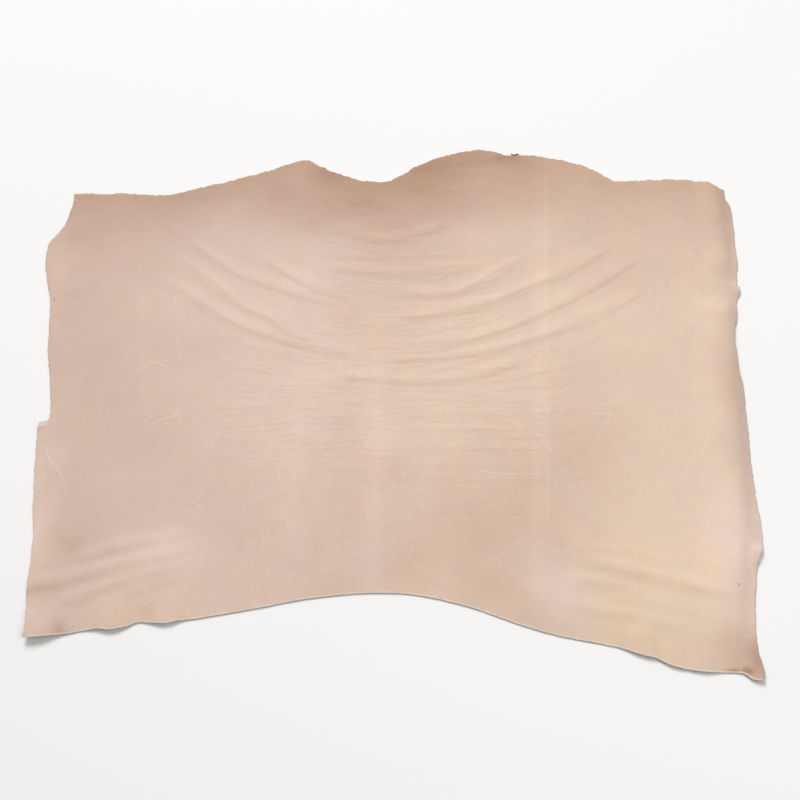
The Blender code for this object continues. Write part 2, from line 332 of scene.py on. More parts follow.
# The hide: growth wrinkles of the grain
# Where the neck skin folded on the living animal, the grain keeps narrow grooves, each below a low
# swell. They hang in arcs from the neck. Strength 1 is the deepest, and each row runs left to right.
WRINKLES = [
    (0.8, [(-425, 350), (-360, 302), (-307, 262), (-232, 230), (-164, 207), (-87, 193)]),
    (0.85, [(-445, 312), (-361, 251), (-304, 193), (-252, 169), (-206, 132), (-137, 112)]),
    (0.85, [(-454, 251), (-381, 200), (-302, 148), (-231, 117), (-142, 90)]),
    (0.5, [(-190, 101), (-120, 84), (-36, 75)]),
    (0.9, [(-267, 310), (-207, 262), (-139, 222), (-81, 211)]),
    (0.7, [(-325, 128), (-291, 107), (-214, 84)]), (0.5, [(-308, 10), (-252, 6), (-205, 3)]),
    (0.5, [(-119, 37), (-67, 34), (-20, 27)]), (0.7, [(-140, 284), (-102, 271), (-53, 266), (-21, 271)]),
    (0.5, [(-155, 70), (-98, 58), (-60, 60)]), (0.5, [(-90, 149), (-52, 149), (-20, 160)]),
    (0.6, [(-125, 377), (-80, 371), (-30, 372)]), (0.5, [(-62, 347), (-30, 343), (0, 343)]),
    (0.9, [(-155, 145), (-130, 136), (-108, 131)]), (0.5, [(-496, 410), (-464, 379), (-410, 339)]),
    (0.4, [(-292, 427), (-229, 410), (-188, 398)]),
    (0.7, [(-148, 459), (-116, 422), (-65, 410), (-13, 418)]),
    (0.8, [(28, 508), (80, 490), (142, 500), (215, 515)]), (0.5, [(17, 490), (80, 478), (163, 490)]),
    (0.6, [(28, 459), (100, 459), (225, 476)]), (0.6, [(42, 375), (71, 370), (101, 375), (130, 385)]),
    (0.4, [(-23, 342), (31, 338), (70, 332)]), (0.5, [(-165, 309), (-60, 302), (40, 306), (180, 311)]),
    (0.7, [(-1, 297), (85, 286), (193, 284)]), (0.7, [(20, 259), (67, 255), (128, 267), (179, 276)]),
    (0.9, [(6, 222), (85, 214), (139, 226), (208, 271), (285, 313)]),
    (0.4, [(285, 313), (380, 345), (520, 415)]), (0.6, [(17, 196), (97, 194), (178, 205), (258, 223)]),
    (1.0, [(6, 162), (84, 172), (160, 190), (218, 209), (289, 244), (350, 259), (392, 288), (465, 339)]),
    (0.9, [(31, 126), (95, 137), (148, 160)]),
    (1.0, [(6, 94), (87, 94), (176, 122), (283, 166), (389, 219), (521, 313)]),
    (0.9, [(-22, 74), (66, 71), (195, 91), (294, 122), (375, 146), (415, 164), (520, 235)]),
    (0.5, [(333, 89), (373, 102), (413, 122), (458, 140)]),
    (0.7, [(41, 39), (125, 59), (224, 90), (260, 106)]),
    (0.9, [(-22, 26), (83, 20), (174, 35), (277, 74)]), (0.6, [(174, 20), (292, 45), (411, 78)]),
    (0.5, [(187, 8), (264, 12), (330, 23)]), (0.5, [(-180, 40), (-80, 12), (20, 8)]),
    (0.3, [(17, -9), (200, -12), (407, 1)]), (0.3, [(17, -43), (200, -45), (405, -35)]),
    (0.3, [(17, -77), (200, -78), (403, -69)]), (0.3, [(17, -115), (200, -118), (401, -111)]),
    (0.3, [(17, -152), (200, -155), (399, -140)]), (0.4, [(17, -177), (200, -182), (397, -173)]),
    (0.3, [(-375, 60), (-290, 56), (-198, 56)]), (0.3, [(-373, 17), (-290, 14), (-197, 17)]),
    (0.3, [(-370, -26), (-290, -30), (-196, -35)]), (0.5, [(45, 483), (84, 491), (118, 501), (167, 509)]),
    (0.4, [(118, 526), (168, 531), (202, 536)]), (0.5, [(138, 450), (177, 453), (215, 463), (273, 456)]),
    (0.4, [(330, 282), (396, 319), (455, 346), (540, 426)]),
    (0.5, [(540, 147), (548, 220), (562, 256), (594, 298)]), (0.4, [(618, 210), (632, 262), (650, 292)]),
    (0.3, [(575, 140), (590, 190), (600, 230)]),
]
GROOVE_DEPTH = 0.12 * MM
GROOVE_WIDTH = 4.0 * MM
# A swell starts this far above its groove, rises to its crest at the front, and ends at the groove.
SWELL_LENGTH = 20 * MM
SWELL_FRONT = 8 * MM
SWELL_HEIGHT = 0.3 * MM
WRINKLE_REACH = 24 * MM
WRINKLE_FADE = 45 * MM
# Between the placed wrinkles the grain has finer ones, which follow arcs round the same spine. The arcs
# bend from one height up, fully from this far above it, and a little of them shows all over.
ARC_BEND = 0.85
ARC_BEND_START = -60 * MM
ARC_BEND_RISE = 360 * MM
ARC_SPACING = 14 * MM
ARC_LENGTH = 95 * MM
ARC_HEIGHT = 0.26 * MM
ARC_LEAST = 0.12
# The leather's own unevenness under all of it
UNEVEN_SIZE = 26 * MM
UNEVEN_HEIGHT = 0.22 * MM
# The fine wrinkles lie between a left and a right limit. Both limits draw in above the fans' height, and
# the right one again above the bare height. Each height comes with the length of its change.
LEFT_LIMIT = -340 * MM
RIGHT_LIMIT = 330 * MM
LEFT_DRAWN_IN = 220 * MM
RIGHT_DRAWN_IN = 50 * MM
RIGHT_BARE = 170 * MM
SIDE_FADE = 130 * MM
FINE_START = (-240 * MM, 160 * MM)
FANS = (50 * MM, 130 * MM)
BARE = (240 * MM, 100 * MM)
THINNER = (360 * MM, 100 * MM)
THINNED = 0.45


def arc_level(places):
    """Which arc a place lies on, as the height at which the arc crosses the spine."""
    bend = ARC_BEND * rising(places[:, 1], ARC_BEND_START, ARC_BEND_RISE)
    return places[:, 1] - bend * places[:, 0] ** 2


def wrinkled_share(places):
    """How much of the fine wrinkles a place has: 1 about the spine, and 0 on the fans and the bellies."""
    x, y = places[:, 0], places[:, 1]
    fans = rising(y, *FANS)
    left = LEFT_LIMIT + LEFT_DRAWN_IN * fans
    right = RIGHT_LIMIT - RIGHT_DRAWN_IN * fans - RIGHT_BARE * rising(y, *BARE)
    across = smooth_ramp((x - left) / SIDE_FADE + 0.5) * smooth_ramp((right - x) / SIDE_FADE + 0.5)
    return across * rising(y, *FINE_START) * (1 - THINNED * rising(y, *THINNER))


def grain_relief(places):
    """The wrinkles' height, and how much each place lies in a groove or on a swell."""
    height, groove, swell = (np.zeros(len(places)) for _ in range(3))
    for strength, points in WRINKLES:
        near, run, side, _, length = beside_curve(points, places, WRINKLE_REACH)
        fade = smooth_ramp(run / WRINKLE_FADE) * smooth_ramp((length - run) / WRINKLE_FADE)
        fade = strength * (fade if length > 3 * WRINKLE_FADE else np.sqrt(fade))
        rise = rising(side, -SWELL_LENGTH, SWELL_LENGTH - SWELL_FRONT) * smooth_ramp(-side / SWELL_FRONT)
        trough = bell(side, 0, GROOVE_WIDTH)
        height[near] += fade * (SWELL_HEIGHT * rise - GROOVE_DEPTH * trough)
        groove[near] = np.maximum(groove[near], fade * trough)
        swell[near] = np.maximum(swell[near], fade * rise)
    arc_places = np.column_stack([places[:, 0] / ARC_LENGTH, arc_level(places) / ARC_SPACING])
    arc_share = ARC_LEAST + (1 - ARC_LEAST) * wrinkled_share(places)
    height += ARC_HEIGHT * table_noise(arc_places, 31) * arc_share
    height += UNEVEN_HEIGHT * table_noise(places / UNEVEN_SIZE, 33)
    return height, groove, swell


# The hide: how its colour changes over the grain
# Tan is the darker rim along the neck. Warm runs from pinkish to straw, and light is how much paler or
# darker a place is; much of light, and some of warm, is painted light and shade on the rolls, swells and
# folds.
# Each patch is its place, half width, half height and strength.
TAN_PATCHES = [
    (-640, -30, 330, 900, 0.34), (-672, -260, 50, 200, -0.12), (-470, -370, 160, 70, -0.06),
    (-385, 225, 110, 75, -0.1), (205, -235, 190, 150, 0.19), (-40, -340, 330, 150, 0.17),
    (370, -40, 130, 110, 0.12), (350, -110, 80, 60, 0.08), (-10, 165, 90, 90, 0.08),
    (470, 270, 100, 60, 0.08), (90, 520, 90, 30, 0.12), (250, 548, 26, 12, 0.22), (224, 546, 9, 10, 0.15),
    (190, -400, 60, 40, 0.12), (-110, -400, 60, 40, 0.09), (255, -455, 60, 40, 0.18),
    (400, -490, 200, 40, 0.08), (662, 60, 30, 90, 0.1), (575, -230, 100, 120, -0.05),
    (645, -285, 40, 75, -0.12), (655, -555, 70, 60, 0.34), (630, -500, 40, 40, 0.15),
    (613, -549, 12, 3.5, 0.7), (622, -548, 6, 4, 0.5), (640, -545, 6, 4, 0.7), (647, -551, 6, 4.5, 0.7),
    (636, -551, 5, 3, 0.5), (662, -515, 16, 34, 0.3), (664, -545, 20, 36, 0.2), (455, -375, 45, 14, 0.12),
    (375, -398, 50, 8, 0.08), (-598, -312, 26, 28, 0.11), (-572, -304, 46, 18, 0.07),
    (-648, -398, 34, 22, 0.16), (-603, -472, 8, 17, 0.28), (-588, -477, 28, 5, 0.16),
    (-444, -437, 16, 14, 0.18), (-600, 330, 120, 110, 0.08), (640, 400, 70, 80, 0.06),
    (400, 70, 100, 70, 0.06), (662, -40, 28, 135, 0.18), (-655, -290, 35, 60, -0.2),
    (-560, -190, 110, 170, -0.05), (-420, -330, 90, 40, -0.08), (440, -509, 80, 30, 0.06),
    (-215, 448, 75, 45, 0.18), (-160, 400, 100, 45, 0.13), (130, 430, 70, 50, 0.13),
    (300, 450, 80, 40, 0.07), (-130, 510, 40, 25, 0.15), (-55, 432, 45, 18, 0.1), (58, 471, 60, 14, 0.07),
    (288, 520, 40, 30, 0.08), (184, 542, 40, 20, 0.14), (330, -395, 70, 60, -0.15),
    (-411, -320, 70, 45, -0.14), (113, -94, 50, 30, -0.08), (-290, 166, 70, 35, -0.05),
    (-150, 34, 60, 30, -0.06), (-480, -395, 50, 35, -0.07), (-150, -210, 90, 70, 0.05),
    (-98, -62, 35, 30, 0.1), (-80, -150, 60, 55, 0.1), (8, -152, 26, 30, 0.09),
]
WARM_PATCHES = [
    (-50, 330, 260, 130, -0.2), (560, -100, 200, 300, 0.12), (450, -380, 170, 130, 0.3),
    (-50, -400, 300, 60, 0.15), (-450, -410, 90, 60, 0.45), (-655, -350, 40, 70, 0.3),
    (-665, 270, 25, 60, 0.2), (246, 548, 34, 13, 1.0), (645, -310, 42, 100, -0.6),
    (-475, -450, 60, 25, 0.5), (-40, -330, 40, 60, -0.3), (450, -510, 80, 40, 0.35),
    # (682, 0) is painted shade: the right edge's strip, turned from the key light, is painted pinker
    (664, -540, 22, 40, -0.4), (310, -405, 50, 80, -0.6), (682, 0, 22, 560, -0.5),
]
# Painted light and shade on the rolled margins: paler where they face the key light, darker on the right
# edge's strip
PAINTED_LIGHT_PATCHES = [
    (-665, -180, 25, 130, 0.04), (-676, 270, 20, 50, 0.06), (640, -270, 45, 70, 0.07),
    (590, -340, 140, 110, 0.06), (684, 0, 20, 560, -0.12),
]
# Long soft bands that lean across the hide, each a little paler or darker
Band = namedtuple("Band", "low_x high_x low_y high_y half_width strength")
LEANING_BANDS = [
    Band(-34, -26, -401, 100, 18, 0.045), Band(-200, -170, -330, 60, 22, 0.03),
    Band(-475, -500, -60, 240, 12, 0.03), Band(270, 308, -400, 430, 13, 0.035),
    Band(-320, -330, -400, -100, 40, -0.015),
]
BAND_FADE = 0.2
# Soft clouds of each tint all over: their strength, size and seed
TAN_CLOUDS = [(0.05, 90 * MM, 41)]
WARM_CLOUDS = [(0.22, 60 * MM, 42), (0.15, 25 * MM, 43)]
LIGHT_CLOUDS = [(0.015, 35 * MM, 44)]
# The neck's rim: how tan it is, and how much more about the middle, whose place and width follow
NECK_STEPS = 160
NECK_SIDE = 50 * MM
NECK_TAN = 0.45
MIDDLE_TAN = 0.38
MIDDLE_TANNED = (30 * MM, 360 * MM)
# How deep that rim is, and how much more about the middle and further right, with their places
RIM_FALLOFF = 1.5
NECK_RIM_DEPTH = 88 * MM
MIDDLE_RIM_DEPTH = 80 * MM
MIDDLE_RIM = (100 * MM, 300 * MM)
RIGHT_RIM_DEPTH = 30 * MM
RIGHT_RIM = (200 * MM, 300 * MM)
# The last stretch to the neck's edge is more orange
RIM_WARMTH = 0.8
RIM_WARM_DEPTH = 20 * MM
# The whole hide gets warmer from this place on, over this length to the right
LEAST_WARMTH = 0.05
RIGHT_WARMTH = 0.5
WARMER = (-550 * MM, 750 * MM)
# Painted highlight: how much paler each swell is painted on its rise to the crest, which faces the key light
SWELL_HIGHLIGHT = 0.03
# Painted shade: how much warmer the side of a fold or swell that faces the cut edge, away from the key
# light, is painted, and the slope where it is full
SHADE_WARMTH = 0.3
SHADE_SLOPE = 0.2


def tint_sum(patches, clouds, places):
    """What a tint's patches and clouds add up to at each place."""
    total = sum(strength * table_noise(places / size, seed) for strength, size, seed in clouds)
    for x, y, half_width, half_height, strength in patches:
        across = bell(places[:, 0], x * MM, half_width * MM)
        total += strength * across * bell(places[:, 1], y * MM, half_height * MM)
    return total


def grain_tints(places):
    """Tan, warm and light at each place of the grain side."""
    neck = curve_at(NECK_EDGE, np.linspace(0, 1, NECK_STEPS))
    high = np.flatnonzero(places[:, 1] > NECK_SIDE)
    depth = np.linalg.norm(places[high][:, None] - neck[None], axis=2).min(axis=1)
    x = places[high, 0]
    rim_depth = NECK_RIM_DEPTH + MIDDLE_RIM_DEPTH * bell(x, *MIDDLE_RIM)
    rim_depth += RIGHT_RIM_DEPTH * rising(x, *RIGHT_RIM)
    rim_tan = NECK_TAN + MIDDLE_TAN * bell(x, *MIDDLE_TANNED)
    tan = tint_sum(TAN_PATCHES, TAN_CLOUDS, places)
    tan[high] += rim_tan * np.exp(-((depth / rim_depth) ** RIM_FALLOFF))
    warm = tint_sum(WARM_PATCHES, WARM_CLOUDS, places)
    warm += LEAST_WARMTH + RIGHT_WARMTH * rising(places[:, 0], *WARMER)
    warm[high] += RIM_WARMTH * bell(depth, 0, RIM_WARM_DEPTH)
    light = tint_sum(PAINTED_LIGHT_PATCHES, LIGHT_CLOUDS, places)
    for band in LEANING_BANDS:
        rise = (places[:, 1] / MM - band.low_y) / (band.high_y - band.low_y)
        middle = band.low_x + (band.high_x - band.low_x) * rise
        ends = rising(rise, -BAND_FADE / 2, BAND_FADE) * (1 - rising(rise, 1 - BAND_FADE / 2, BAND_FADE))
        light += band.strength * bell(places[:, 0] / MM, middle, band.half_width) * ends
    return np.clip(tan, 0, 1), np.clip(warm, 0, 1), light


# The hide: its mesh
# The grain side is one grid of rows and columns stretched between the four edges. Its rim is drawn
# twice as fine, so that the torn edges stay ragged, and carries the cut face down to the flesh side.
# Each ring of the rim is drawn in by some millimetres, at a height that is a share of the thickness.
RINGS = [(0.7, 1.0), (0.1, 0.82), (-0.15, 0.5), (0.15, 0.14), (0.8, 0.0)]
# The rings between the two sides waver in and out by this many millimetres
EDGE_WAVE = 0.25
EDGE_WAVE_LENGTH = 6 * MM
GRAIN_SLOT, FLESH_SLOT, CUT_SLOT, TORN_SLOT = range(4)


def stitched(coarse, fine, step):
    """Triangles between a coarse closed loop and a fine one outside it that has step times its points."""
    faces = []
    for number, corner in enumerate(coarse):
        following = coarse[(number + 1) % len(coarse)]
        first = number * step
        turn = step // 2
        for place in range(step):
            if place == turn:
                faces.append((corner, fine[(first + place) % len(fine)], following))
            held = corner if place < turn else following
            faces.append((held, fine[(first + place) % len(fine)], fine[(first + place + 1) % len(fine)]))
    return faces


def grid_loop(numbers):
    """The outer loop of a grid of vertex numbers, anticlockwise from its lower left corner."""
    return np.concatenate([numbers[0, :-1], numbers[:-1, -1], numbers[-1, :0:-1], numbers[:0:-1, 0]])


def grid_faces(numbers):
    """One quad for each cell of a grid of vertex numbers."""
    corners = [numbers[:-1, :-1], numbers[:-1, 1:], numbers[1:, 1:], numbers[1:, :-1]]
    return np.stack(corners, axis=-1).reshape(-1, 4)


def ring_band(high, low):
    """Quads between one ring of the rim and the one below it."""
    after = np.arange(1, RIM + 1) % RIM
    return [tuple(face) for face in np.column_stack([low, low[after], high[after], high])]


def lowest_near(heights):
    """The lowest of the heights within one step of the flesh side's coarser grid round each place."""
    lowest = heights.reshape(grid.shape[:2])
    for axis in (0, 1):
        padding = [(0, 0), (0, 0)]
        padding[axis] = (FLESH_STEP, FLESH_STEP)
        padded = np.pad(lowest, padding, "edge")
        windows = np.lib.stride_tricks.sliding_window_view(padded, 2 * FLESH_STEP + 1, axis=axis)
        lowest = windows.min(axis=-1)
    return lowest.ravel()


def hide_mesh():
    """The grain side, the rings round its edge and the flesh side, with the values that tint them."""
    top_places = grid.reshape(-1, 2)
    low_grid = grid[::FLESH_STEP, ::FLESH_STEP]
    low_places = low_grid.reshape(-1, 2)
    underside = underside_height(top_places)
    flesh_height = np.minimum(underside, lowest_near(underside) + FLESH_SLACK)
    flesh_height = flesh_height.reshape(grid.shape[:2])[::FLESH_STEP, ::FLESH_STEP]
    relief, groove, swell = grain_relief(top_places)
    rim_relief, rim_groove, rim_swell = grain_relief(rim)
    rim_low = underside_height(rim)
    rim_high = rim_low + THICKNESS + rim_relief
    wave = rim_noise(EDGE_WAVE_LENGTH, 51)
    places, heights = [top_places], [underside + THICKNESS + relief]
    for drawn_in, share in RINGS:
        inwards = (drawn_in + EDGE_WAVE * wave * (0 < share < 1)) * MM
        places.append(rim - rim_outwards * inwards[:, None])
        heights.append(rim_low + (rim_high - rim_low) * share)
    all_places = np.vstack(places + [low_places])
    all_heights = np.concatenate(heights + [flesh_height.ravel()])

    ends = np.cumsum([len(top_places), RIM * len(RINGS)])
    top_numbers, ring_numbers, low_numbers = np.split(np.arange(len(all_places)), ends)
    top_numbers = top_numbers.reshape(grid.shape[:2])
    ring_numbers = ring_numbers.reshape(-1, RIM)
    low_numbers = low_numbers.reshape(low_grid.shape[:2])
    grain = [tuple(face) for face in grid_faces(top_numbers)]
    grain += stitched(grid_loop(top_numbers), ring_numbers[0], FINE)
    grain += ring_band(ring_numbers[0], ring_numbers[1])
    edge = []
    for high, low in zip(ring_numbers[1:], ring_numbers[2:]):
        edge += ring_band(high, low)
    flesh = [tuple(face[::-1]) for face in grid_faces(low_numbers)]
    flesh_rim = stitched(grid_loop(low_numbers), ring_numbers[-1], FINE * FLESH_STEP)
    flesh += [face[::-1] for face in flesh_rim]
    mesh = bpy.data.meshes.new("hide_sheet")
    mesh.from_pydata(np.column_stack([all_places, all_heights]).tolist(), [], grain + edge + flesh)
    knife_cut = np.repeat([1, 0, 0, 0], np.diff(rim_corners))
    edge_slots = np.tile(np.where(knife_cut, CUT_SLOT, TORN_SLOT), len(RINGS) - 2)
    slots = [GRAIN_SLOT] * len(grain) + list(edge_slots) + [FLESH_SLOT] * len(flesh)
    mesh.polygons.foreach_set("material_index", slots)

    def over_all(top, around, low):
        """A value for every point, from those of the grain side, of the rings and of the flesh side."""
        return np.concatenate([top, np.resize(around, RIM * len(RINGS)), np.full(len(low_places), low)])

    tan, warm, light = grain_tints(all_places)
    # Painted shade: slopes that face the cut edge, away from the key light, are made warmer
    slope = np.gradient((underside + relief).reshape(grid.shape[:2]), axis=0)
    slope /= np.gradient(grid[:, :, 1], axis=0)
    warm[: len(top_places)] += SHADE_WARMTH * np.clip(slope.ravel() / SHADE_SLOPE, 0, 1)
    no_top = np.zeros(len(top_places))
    ring_drop = np.repeat([1 - share for _, share in RINGS], RIM)
    point_values = {
        "groove": over_all(groove, rim_groove, 0),
        "tan": tan,
        "warm": warm,
        "light": light + SWELL_HIGHLIGHT * over_all(swell, rim_swell, 0),
        "arc": arc_level(all_places),
        "wrinkled": wrinkled_share(all_places),
        "drop": over_all(no_top, ring_drop, 1),
        "lip": over_all(no_top, knife_cut, 0),
    }
    for name, values in point_values.items():
        attribute = mesh.attributes.new(name, "FLOAT", "POINT")
        attribute.data.foreach_set("value", values.astype(np.float32))
    mesh.shade_smooth()
    mesh.update()
    return mesh


# The hide: its finishes
# Undyed grain with pores, creases, healed scratches and press marks, shaved suede below, and pale edges.
def add_node(tree, kind, settings=None, sockets=None):
    """Adds a node of a kind, with its settings, and gives its sockets their values or links."""
    made = tree.nodes.new(kind)
    for name, value in (settings or {}).items():
        setattr(made, name, value)
    for name, value in (sockets or {}).items():
        if isinstance(value, Number):
            value = value.socket
        if isinstance(value, bpy.types.NodeSocket):
            tree.links.new(value, made.inputs[name])
        else:
            made.inputs[name].default_value = value
    return made


def added(name, data):
    """A new object with this data, in the scene."""
    made = bpy.data.objects.new(name, data)
    bpy.context.scene.collection.objects.link(made)
    return made


def maths(operation, swapped=False):
    """What a number does for one of the operations of the Math node."""

    def method(self, *others):
        numbers = (*others, self) if swapped else (self, *others)
        return self.finish.number("Math", {"operation": operation}, dict(enumerate(numbers)))

    return method


class Number:
    """A number inside a material. Sums and products of numbers add the Math nodes that work them out."""

    def __init__(self, finish, socket):
        self.finish, self.socket = finish, socket

    __add__ = __radd__ = maths("ADD")
    __sub__, __rsub__ = maths("SUBTRACT"), maths("SUBTRACT", swapped=True)
    __mul__ = __rmul__ = maths("MULTIPLY")
    __truediv__ = maths("DIVIDE")
    size, fract, sine, cosine = (maths(name) for name in ("ABSOLUTE", "FRACT", "SINE", "COSINE"))
    larger, is_less = maths("MAXIMUM"), maths("LESS_THAN")

    def ramp(self, low, high):
        """0 at low, 1 at high, with a soft start and end."""
        settings = {"interpolation_type": "SMOOTHSTEP"}
        return self.finish.number("MapRange", settings, {"Value": self, "From Min": low, "From Max": high})


class Finish:
    """One material under construction."""

    def __init__(self, name):
        self.material = bpy.data.materials.new(name)
        self.material.use_nodes = True
        self.material.node_tree.nodes.clear()
        self.place = self.node("TexCoord").outputs["Object"]
        self.x, self.y = self.x_and_y(self.place)

    def node(self, kind, settings=None, sockets=None):
        return add_node(self.material.node_tree, "ShaderNode" + kind, settings, sockets)

    def number(self, kind, settings=None, sockets=None, output=0):
        return Number(self, self.node(kind, settings, sockets).outputs[output])

    def x_and_y(self, vector):
        apart = self.node("SeparateXYZ", sockets={"Vector": vector})
        return Number(self, apart.outputs["X"]), Number(self, apart.outputs["Y"])

    def attribute(self, name):
        return self.number("Attribute", {"attribute_name": name}, output="Fac")

    def noise(self, size, detail=2.0, stretch=None):
        """Soft noise from 0 to 1, with lumps about this size in metres, stretched along the axes."""
        place = self.place
        if stretch:
            place = self.node("Mapping", sockets={"Vector": place, "Scale": stretch}).outputs[0]
        sockets = {"Vector": place, "Scale": 1 / size, "Detail": detail, "Roughness": 0.6}
        return self.number("TexNoise", sockets=sockets)

    def blend(self, share, one, other):
        """A colour: one where share is 0, the other where it is 1."""
        settings = {"data_type": "RGBA", "clamp_factor": True}
        return self.node("Mix", settings, {0: share, 6: one, 7: other}).outputs[2]

    def shade(self, colour, factor):
        """A colour made brighter or darker by a factor."""
        settings = {"operation": "SCALE"}
        return self.node("VectorMath", settings, {0: colour, "Scale": factor}).outputs[0]

    def surface(self, colour, roughness, height, distance, **fixed):
        """Ends the material with a Principled shader: its varying inputs, a bump and its fixed values."""
        bump = self.node("Bump", sockets={"Strength": 1.0, "Distance": distance, "Height": height})
        sockets = {"Base Color": colour, "Roughness": roughness, "Normal": bump.outputs[0]}
        sockets.update(fixed)
        shader = self.node("BsdfPrincipled", sockets=sockets)
        self.node("OutputMaterial", sockets={"Surface": shader.outputs[0]})
        return self.material


def rgb(text):
    """A colour written as six hexadecimal digits, as the shader wants it."""
    parts = [int(text[start : start + 2], 16) / 255 for start in (0, 2, 4)]
    linear = [part / 12.92 if part < 0.04 else ((part + 0.055) / 1.055) ** 2.4 for part in parts]
    return (*linear, 1.0)


PINKISH = rgb("dbc3b5")
STRAW = rgb("dec4aa")
TANNED = rgb("aa836c")
PALE_SCAR = rgb("eddccc")
GROOVE_SHADE = rgb("b38c6f")
SLIT = rgb("6b4a36")
TURNED_LIP = rgb("d8d0c2")
FLESH = rgb("cbbba6")
FLESH_DARK = rgb("b09b84")
KNIFE_CUT = rgb("f2e6d8")
KNIFE_FLESH_AND_SHADE = rgb("7d6c57")
TORN = rgb("cdb9a5")
TORN_DARK = rgb("a58e78")

FULL_TURN = 6.28
# The fine wrinkles: how far apart they lie, and by how many of those steps noise shifts them
CREASE_SPACING = 13.5 * MM
CREASE_DRIFT = 3.2

# Healed scratches, scattered: the cell that holds one, its length and half width in millimetres, the share
# of cells that have one, and how much paler it is. They come in or thin out between each pair of limits.
Scratch = namedtuple("Scratch", "cell length half_width share paleness")
SCRATCHES = [
    Scratch(58, 44, 0.9, 0.35, 0.28), Scratch(33, 22, 0.9, 0.45, 0.38), Scratch(21, 12, 0.9, 0.5, 0.45),
    Scratch(15, 8, 0.85, 0.35, 0.45),
]
SCRATCH_WOBBLE = 7 * MM
SCRATCHED_LEFT = (-560 * MM, -400 * MM)
SCRATCHED_RIGHT = (300 * MM, 500 * MM)
SCRATCHED_TOP = (20 * MM, 220 * MM)
# Pale specks, one at most in each cell
SPECK_CELL = 26 * MM
SPECK_SHARE = 0.22
# Scars and slits, each a run of straight stretches in millimetres
SCAR_HALF_WIDTH = 1.5
SLIT_HALF_WIDTH = 1.4
SCARS = [
    [(-662, -108), (-650, -140), (-636, -150), (-618, -185)],
    [(547, -180), (573, -142), (601, -116), (614, -78)], [(271, -18), (283, -34), (312, -31)],
    [(277, -79), (293, -98), (309, -117)], [(172, -158), (205, -166), (282, -166)],
    [(393, -40), (425, -38), (418, -60), (393, -58)], [(385, -28), (420, -16), (458, -8)],
    [(-474, 75), (-437, 62), (-447, 50)], [(-462, -64), (-445, -52), (-408, -41)],
]
SLITS = [
    [(-676, 214), (-673, 208)], [(638, -386), (642, -390)], [(-577, -466), (-576, -467)],
    [(-671, -69), (-670, -69)],
]
# The press left a fine double line, and fainter ones beside it: offset and half width in millimetres,
# and strength. They lean to the right, and fade out some way above the cut edge.
PRESS_LINE_X = 301.8 * MM
PRESS_LINE_SLOPE = 0.0352
PRESS_END = (-300 * MM, -220 * MM)
PRESS_LINES = [
    (0.0, 1.4, 0.5), (4.6, 1.2, 0.35), (-8.0, 1.1, 0.16), (-13.5, 1.1, 0.18), (-19.0, 1.1, 0.16),
    (-24.5, 1.1, 0.12),
]
# The left tab shows its pale edge turned up
TURNED_STRETCH = [[(-677, -65), (-665, -60)]]
TURNED_HALF_WIDTH = 6


def arc_noise(finish, arc, length, width, detail):
    """Soft noise from 0 to 1, with lumps this long along the wrinkles' arcs and this wide across them."""
    place = finish.node("CombineXYZ", sockets={"X": finish.x / length, "Y": arc / width}).outputs[0]
    return finish.number("TexNoise", sockets={"Vector": place, "Scale": 1.0, "Detail": detail})


def vector_maths(finish, operation, one, other):
    """The result of a sum on two vectors, or on a vector and a factor."""
    sockets = {0: one, "Scale" if operation == "SCALE" else 1: other}
    return finish.node("VectorMath", {"operation": operation}, sockets).outputs[0]


def scattered_scratches(finish, wobbled, kind, number):
    """Where thin kinked scratches lie, one at most in each cell, each at its own angle and length."""
    shift = (number * 0.37, number * 0.71, 0.0)
    place = finish.node("Mapping", sockets={"Vector": wobbled, "Location": shift}).outputs[0]
    sockets = {"Vector": place, "Scale": 1 / (kind.cell * MM)}
    cells = finish.node("TexVoronoi", {"voronoi_dimensions": "2D"}, sockets)
    chance = finish.node("SeparateColor", sockets={"Color": cells.outputs["Color"]})
    angle, length, lot = (Number(finish, output) for output in chance.outputs[:3])
    x, y = finish.x_and_y(vector_maths(finish, "SUBTRACT", place, cells.outputs["Position"]))
    angle = angle * FULL_TURN
    cosine, sine = angle.cosine(), angle.sine()
    along = x * cosine + y * sine
    across = y * cosine - x * sine
    half = (length * 0.6 + 0.4) * (kind.length * 0.5 * MM)
    thin = 1 - across.size().ramp(kind.half_width * 0.3 * MM, kind.half_width * MM)
    ends = 1 - (along.size() / half).ramp(0.6, 1.0)
    return thin * ends * lot.is_less(kind.share)


def stretch_mask(finish, start, end, half_width):
    """1 along one straight stretch between two points in millimetres, with soft sides."""
    (x0, y0), (x1, y1) = start, end
    length = math.hypot(x1 - x0, y1 - y0)
    dx, dy = (x1 - x0) / length, (y1 - y0) / length
    x, y = finish.x - x0 * MM, finish.y - y0 * MM
    along = x * dx + y * dy
    across = y * dx - x * dy
    half_length, soft = length * 0.5 * MM, half_width * MM
    past = (along - half_length).size() - half_length
    return (1 - across.size().ramp(0, soft)) * (1 - past.ramp(-0.5 * soft, soft))


def strongest(numbers):
    """The highest of some numbers at each place."""
    total = numbers[0]
    for number in numbers[1:]:
        total = total.larger(number)
    return total


def runs_mask(finish, runs, half_width):
    """1 along every stretch of the runs."""
    masks = [stretch_mask(finish, *pair, half_width) for run in runs for pair in zip(run, run[1:])]
    return strongest(masks)


